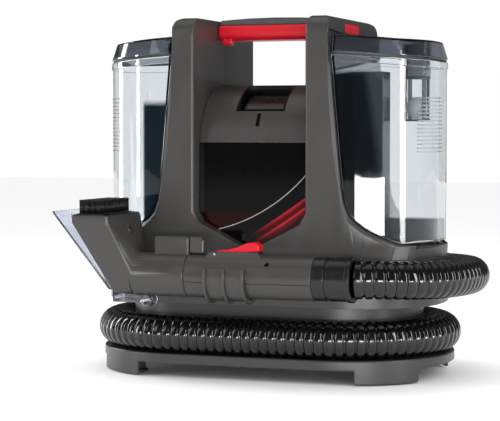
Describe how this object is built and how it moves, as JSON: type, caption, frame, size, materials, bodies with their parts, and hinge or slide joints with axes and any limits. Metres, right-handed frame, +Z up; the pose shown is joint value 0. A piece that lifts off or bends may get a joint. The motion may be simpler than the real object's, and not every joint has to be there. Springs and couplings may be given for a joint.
{
  "type": "carpet cleaner",
  "caption": "Portable spot carpet cleaner with two lift-out tanks, carrying handle, wound suction hose and a parked hand nozzle with spray trigger.",
  "frame": {"origin": "on the floor under the middle of the base", "axes": "+X to the right along the long side, +Y to the back, +Z up"},
  "size_m": [0.4023, 0.3012, 0.354],
  "materials": {
    "body_plastic": "fine moulded texture, satin",
    "base_plastic": "fine moulded texture, satin",
    "gloss_black": "polished",
    "black_plastic": "satin",
    "red_plastic": "semi-gloss",
    "clear_plastic": "clear, faint smoke blue",
    "lid_plastic": "smoky, semi-clear",
    "duct_plastic": "translucent dark blue",
    "hose_plastic": "ribbed, glossy",
    "rubber": "matt",
    "bristle": "nylon filament",
    "steel": "bright",
    "white_plastic": "satin"
  },
  "bodies": {
    "root": {"base_plate": "base_plastic", "foot_pads": "rubber", "hose_neck": "base_plastic", "chassis_floor": "black_plastic", "front_cover": "body_plastic", "rear_cover": "body_plastic", "centre_cover": "body_plastic", "front_lens": "gloss_black", "button_well": "gloss_black", "indicator_lens": "gloss_black", "switch_body": "black_plastic", "handle_beam": "body_plastic", "handle_grip": "red_plastic", "latch_springs": "steel", "valve_seat": "black_plastic", "suction_hose": "hose_plastic", "hose_inlet": "base_plastic", "tool_tube": "black_plastic", "tool_upper_shell": "body_plastic", "tool_lower_shell": "body_plastic", "trigger_pin": "steel", "trigger_spring": "steel", "lock_spring": "steel", "tool_cradle": "body_plastic", "motor_can": "steel", "fan_housing": "black_plastic", "motor_bearings": "steel", "motor_mount": "black_plastic", "pump_body": "black_plastic", "water_tube": "clear_plastic", "suction_riser": "black_plastic", "exhaust_grille": "black_plastic", "cable_gland": "rubber", "base_screws": "steel"},
    "clean_tank": {"clean_tank_shell": "clear_plastic", "clean_tank_lid": "lid_plastic", "clean_tank_seal": "rubber", "valve_spring": "steel"},
    "fill_cap": {"fill_cap": "lid_plastic"},
    "tank_valve": {"tank_valve": "white_plastic"},
    "dirty_tank": {"dirty_tank_shell": "clear_plastic", "dirty_tank_seal": "rubber", "separator_duct": "duct_plastic"},
    "dirty_lid": {"dirty_tank_lid": "lid_plastic", "float_cage": "duct_plastic"},
    "float_ball": {"float_ball": "white_plastic"},
    "left_latch": {"left_latch": "red_plastic"},
    "right_latch": {"right_latch": "red_plastic"},
    "power_button": {"power_button": "black_plastic"},
    "spray_trigger": {"spray_trigger": "red_plastic"},
    "nozzle_lock": {"nozzle_lock": "body_plastic"},
    "nozzle": {"nozzle_body": "body_plastic", "brush_bar": "black_plastic", "bristles": "bristle", "spray_jet": "black_plastic"},
    "nozzle_cover": {"nozzle_cover": "clear_plastic"},
    "hose_cuff": {"hose_cuff": "black_plastic"},
    "rotor": {"motor_shaft": "steel", "fan_impeller": "white_plastic"},
    "pump_rotor": {"pump_rotor": "steel"}
  },
  "joints": [
    {"name": "clean_tank_lift", "type": "slide", "parent": "root", "child": "clean_tank", "axis": [0, 0, 1], "range_m": [0, 0.15]},
    {"name": "dirty_tank_lift", "type": "slide", "parent": "root", "child": "dirty_tank", "axis": [0, 0, 1], "range_m": [0, 0.15]},
    {"name": "fill_cap_turn", "type": "hinge", "parent": "clean_tank", "child": "fill_cap", "pos_m": [-0.12, 0.025, 0.32], "axis": [0, 0, 1], "range_deg": [0, 90]},
    {"name": "tank_valve_press", "type": "slide", "parent": "clean_tank", "child": "tank_valve", "axis": [0, 0, 1], "range_m": [0, 0.003], "stiffness_N_per_m": 200, "springref_m": -0.002},
    {"name": "dirty_lid_lift", "type": "slide", "parent": "dirty_tank", "child": "dirty_lid", "axis": [0, 0, 1], "range_m": [0, 0.06]},
    {"name": "float_rise", "type": "slide", "parent": "dirty_lid", "child": "float_ball", "axis": [0, 0, 1], "range_m": [0, 0.017]},
    {"name": "left_latch_press", "type": "slide", "parent": "root", "child": "left_latch", "axis": [1, 0, 0], "range_m": [0, 0.003], "stiffness_N_per_m": 400, "springref_m": -0.002},
    {"name": "right_latch_press", "type": "slide", "parent": "root", "child": "right_latch", "axis": [-1, 0, 0], "range_m": [0, 0.003], "stiffness_N_per_m": 400, "springref_m": -0.002},
    {"name": "power_button_press", "type": "slide", "parent": "root", "child": "power_button", "axis": [0, 0.4691, -0.8832], "range_m": [0, 0.002], "stiffness_N_per_m": 600, "springref_m": -0.002},
    {"name": "trigger_squeeze", "type": "hinge", "parent": "root", "child": "spray_trigger", "pos_m": [-0.017, -0.125, 0.1243], "axis": [0, 1, 0], "range_deg": [0, 4], "stiffness_Nm_per_rad": 1.5, "springref_deg": -2.86},
    {"name": "nozzle_lock_press", "type": "slide", "parent": "root", "child": "nozzle_lock", "axis": [0, 0, -1], "range_m": [0, 0.002], "stiffness_N_per_m": 400, "springref_m": -0.002},
    {"name": "nozzle_pull", "type": "slide", "parent": "root", "child": "nozzle", "axis": [-1, 0, 0], "range_m": [0, 0.035]},
    {"name": "nozzle_cover_pull", "type": "slide", "parent": "nozzle", "child": "nozzle_cover", "axis": [-1, 0, 0], "range_m": [0, 0.03]},
    {"name": "cuff_swivel", "type": "hinge", "parent": "root", "child": "hose_cuff", "pos_m": [0.09, -0.125, 0.103], "axis": [1, 0, 0], "continuous": true},
    {"name": "rotor_spin", "type": "hinge", "parent": "root", "child": "rotor", "pos_m": [0, -0.009, 0.223], "axis": [1, 0, 0], "continuous": true},
    {"name": "pump_spin", "type": "hinge", "parent": "root", "child": "pump_rotor", "pos_m": [-0.09, 0, 0.091], "axis": [1, 0, 0], "continuous": true}
  ]
}
